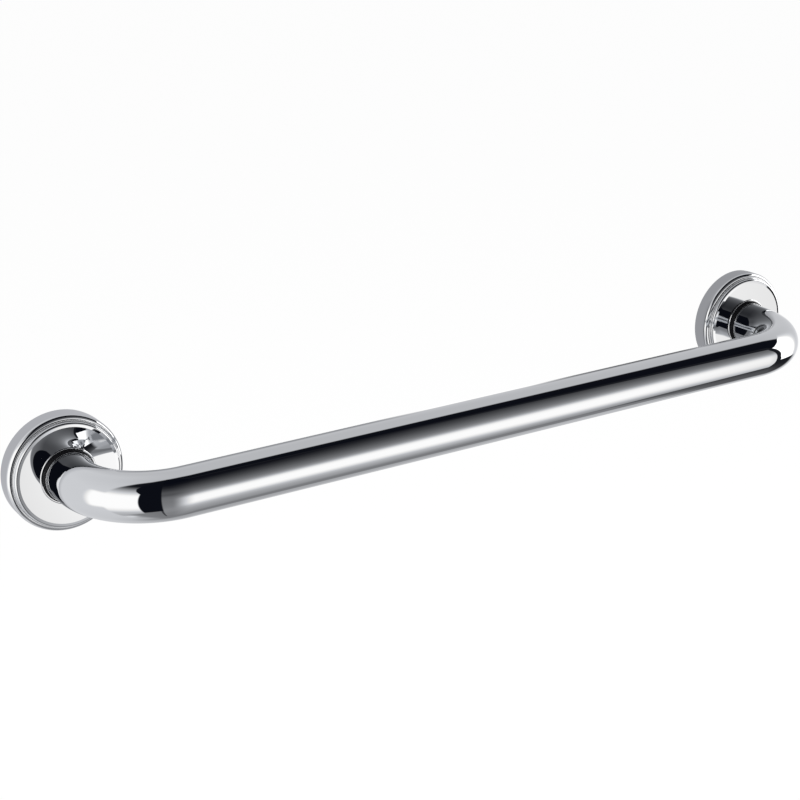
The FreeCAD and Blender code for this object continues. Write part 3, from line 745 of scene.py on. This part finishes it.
# Dark under the right soft box and the black gap between it and the panel.
under_tone = profile(air, lift, [(-48, 0.116), (-40, 0.059), (-34, 0.03), (-28, 0.014), (-20, 0.01)])
under_cover = product(air, rise(air, turn, 61.5, 64.5), rise(air, turn, 112, 96),
                      rise(air, lift, -50, -46), rise(air, lift, -18, -20))
level = over(air, level, under_tone, under_cover)
gap_turn = calc(air, "ADD", calc(air, "MULTIPLY", lift, 0.17), turn)
gap_cover = product(air, close_to(air, gap_turn, 60.5, 3.6, 2.4), rise(air, lift, -28, -22))
level = over(air, level, BLACK_GAP, gap_cover)

# Right soft box, bright at its far end and soft on its right.
right_tone = profile(air, turn, [(88, 1.75), (94, 1.071), (98, 0.76), (104, 0.624), (110, 0.577)])
right_edge = profile(air, lift, [
    (-16, 69), (-12, 66.5), (-8, 65.5), (0, 65), (8, 63.3), (16, 62), (24, 60)])
right_top = profile(air, turn, [(64, 24), (72, 26.5), (80, 28.3), (88, 30.5)])
right_cover = product(air, before(air, right_edge, turn), rise(air, turn, 110, 96),
                      before(air, lift, right_top), rise(air, lift, -19.8, -18.2))
level = over(air, level, right_tone, right_cover)

# Grey paper and cloth mirror a little blue, the lit boxes a little warm.
warmth = rise(air, level, WARM_FROM, WARM_TO)
tint = air.nodes.new("ShaderNodeCombineColor")
for channel, cool, warm, veil in zip(tint.inputs, COOL, WARM, VEIL):
    share = over(air, cool, warm, warmth)
    air.links.new(calc(air, "ADD", calc(air, "MULTIPLY", level, share), veil), channel)
shine = air.nodes.new("ShaderNodeEmission")
shine.inputs["Strength"].default_value = ROOM_GLOW
air.links.new(tint.outputs[0], shine.inputs["Color"])
air.links.new(shine.outputs[0], surface)

# Wall: close behind the bar and round each cover it lies in their shade, which only polished metal
# mirrors. The shade behind the bar is darker away from the left box and open in the middle.
SHADE_INNER = 0.0304
SHADE_OUTER = 0.048
SHADE_FADE = (0.035, 0.047)
AROUND_SHADE = 96
RIM_SHADES = {"left": 0.55, "right": 0.40}
RIM_TINT = (1.0, 1.005, 1.05)
BAR_END = LEG_SPACING / 2 - SHADE_INNER
BAR_SHADE = 0.05
BAR_BACK = 0.0006
BAR_FADE = (0.018, 0.045)
BAR_LEVELS = [(-0.19, 0.35), (0.05, 0.33), (0.14, 0.14)]
BAR_TINT = (0.98, 1.0, 1.05)


def ring_sheet(leg, inner, outer, around):
    """Corners and faces of a flat ring on the wall round a leg: (leg + r * cos(a), 0, r * sin(a))."""
    angle = 2 * np.pi * np.arange(around) / around
    rings = [np.stack([leg + r * np.cos(angle), 0 * angle, r * np.sin(angle)], axis=1)
             for r in (inner, outer)]
    near = np.arange(around)
    after = np.roll(near, -1)
    faces = np.stack([near, after, after + around, near + around], axis=1)
    return np.concatenate(rings).tolist(), faces.tolist()


def shade_sheet(name, corners, faces):
    """Sheet on the wall that only polished metal mirrors, with its tree, its places along and up the
    wall and the socket for what it shows."""
    shade, tree, surface = bare_material(name)
    only_mirrored(plain_sheet(name, corners, faces), shade)
    where = tree.nodes.new("ShaderNodeTexCoord")
    split = tree.nodes.new("ShaderNodeSeparateXYZ")
    tree.links.new(where.outputs["Object"], split.inputs[0])
    return tree, split.outputs[0], split.outputs[2], surface


def cleared_glow(tree, colour, clearing):
    """Even glow of a colour that is clear where clearing is 1."""
    glow = tree.nodes.new("ShaderNodeEmission")
    clear = tree.nodes.new("ShaderNodeBsdfTransparent")
    set_socket(tree, glow.inputs["Color"], colour)
    return mixed(tree, clearing, glow.outputs[0], clear.outputs[0])


for side, leg in LEGS:
    ring = ring_sheet(leg, SHADE_INNER, SHADE_OUTER, AROUND_SHADE)
    tree, x, z, surface = shade_sheet(f"{side}_wall_shade", *ring)
    colour = (*(RIM_SHADES[side] * share for share in RIM_TINT), 1)
    across = calc(tree, "SUBTRACT", x, leg)
    squares = calc(tree, "ADD", product(tree, across, across), product(tree, z, z))
    clearing = rise(tree, calc(tree, "SQRT", squares), *SHADE_FADE)
    tree.links.new(cleared_glow(tree, colour, clearing), surface)

bar_corners = [(x, BAR_BACK, z) for x, z in ((-BAR_END, -BAR_SHADE), (BAR_END, -BAR_SHADE),
                                             (BAR_END, BAR_SHADE), (-BAR_END, BAR_SHADE))]
tree, x, z, surface = shade_sheet("bar_wall_shade", bar_corners, [(0, 1, 2, 3)])
bar_level = profile(tree, x, BAR_LEVELS)
tone = tree.nodes.new("ShaderNodeCombineColor")
for channel, share in zip(tone.inputs, BAR_TINT):
    tree.links.new(calc(tree, "MULTIPLY", bar_level, share), channel)
open_middle = product(tree, rise(tree, x, -0.05, 0.0), rise(tree, x, 0.1, 0.06))
open_rim = rise(tree, calc(tree, "ABSOLUTE", z), *BAR_FADE)
clearing = calc(tree, "MAXIMUM", open_middle, open_rim)
tree.links.new(cleared_glow(tree, tone.outputs[0], clearing), surface)

# Camera: where the photographer stood, a little above the bar and left of it.
FOCAL_PIXELS = 1731.9
PICTURE = 800
SENSOR = 36
CAMERA_PLACE = (-0.4860, -0.7689, 0.3222)
TURN, TILT, ROLL = (math.radians(v) for v in (-31.13, 20.01, -1.01))
lens = bpy.data.cameras.new("photographer")
lens.sensor_width = SENSOR
lens.lens = FOCAL_PIXELS / PICTURE * SENSOR
camera = bpy.data.objects.new("photographer", lens)
back = np.array([math.sin(TURN) * math.cos(TILT), -math.cos(TURN) * math.cos(TILT), math.sin(TILT)])
level_right = np.array([math.cos(TURN), math.sin(TURN), 0])
level_up = np.cross(back, level_right)
right = math.cos(ROLL) * level_right + math.sin(ROLL) * level_up
up = -math.sin(ROLL) * level_right + math.cos(ROLL) * level_up
pose = np.eye(4)
pose[:3] = np.stack([right, up, back, CAMERA_PLACE], axis=1)
camera.matrix_world = Matrix(pose.tolist())
bpy.context.scene.collection.objects.link(camera)
bpy.context.scene.camera = camera
bpy.context.scene.view_settings.view_transform = "Standard"
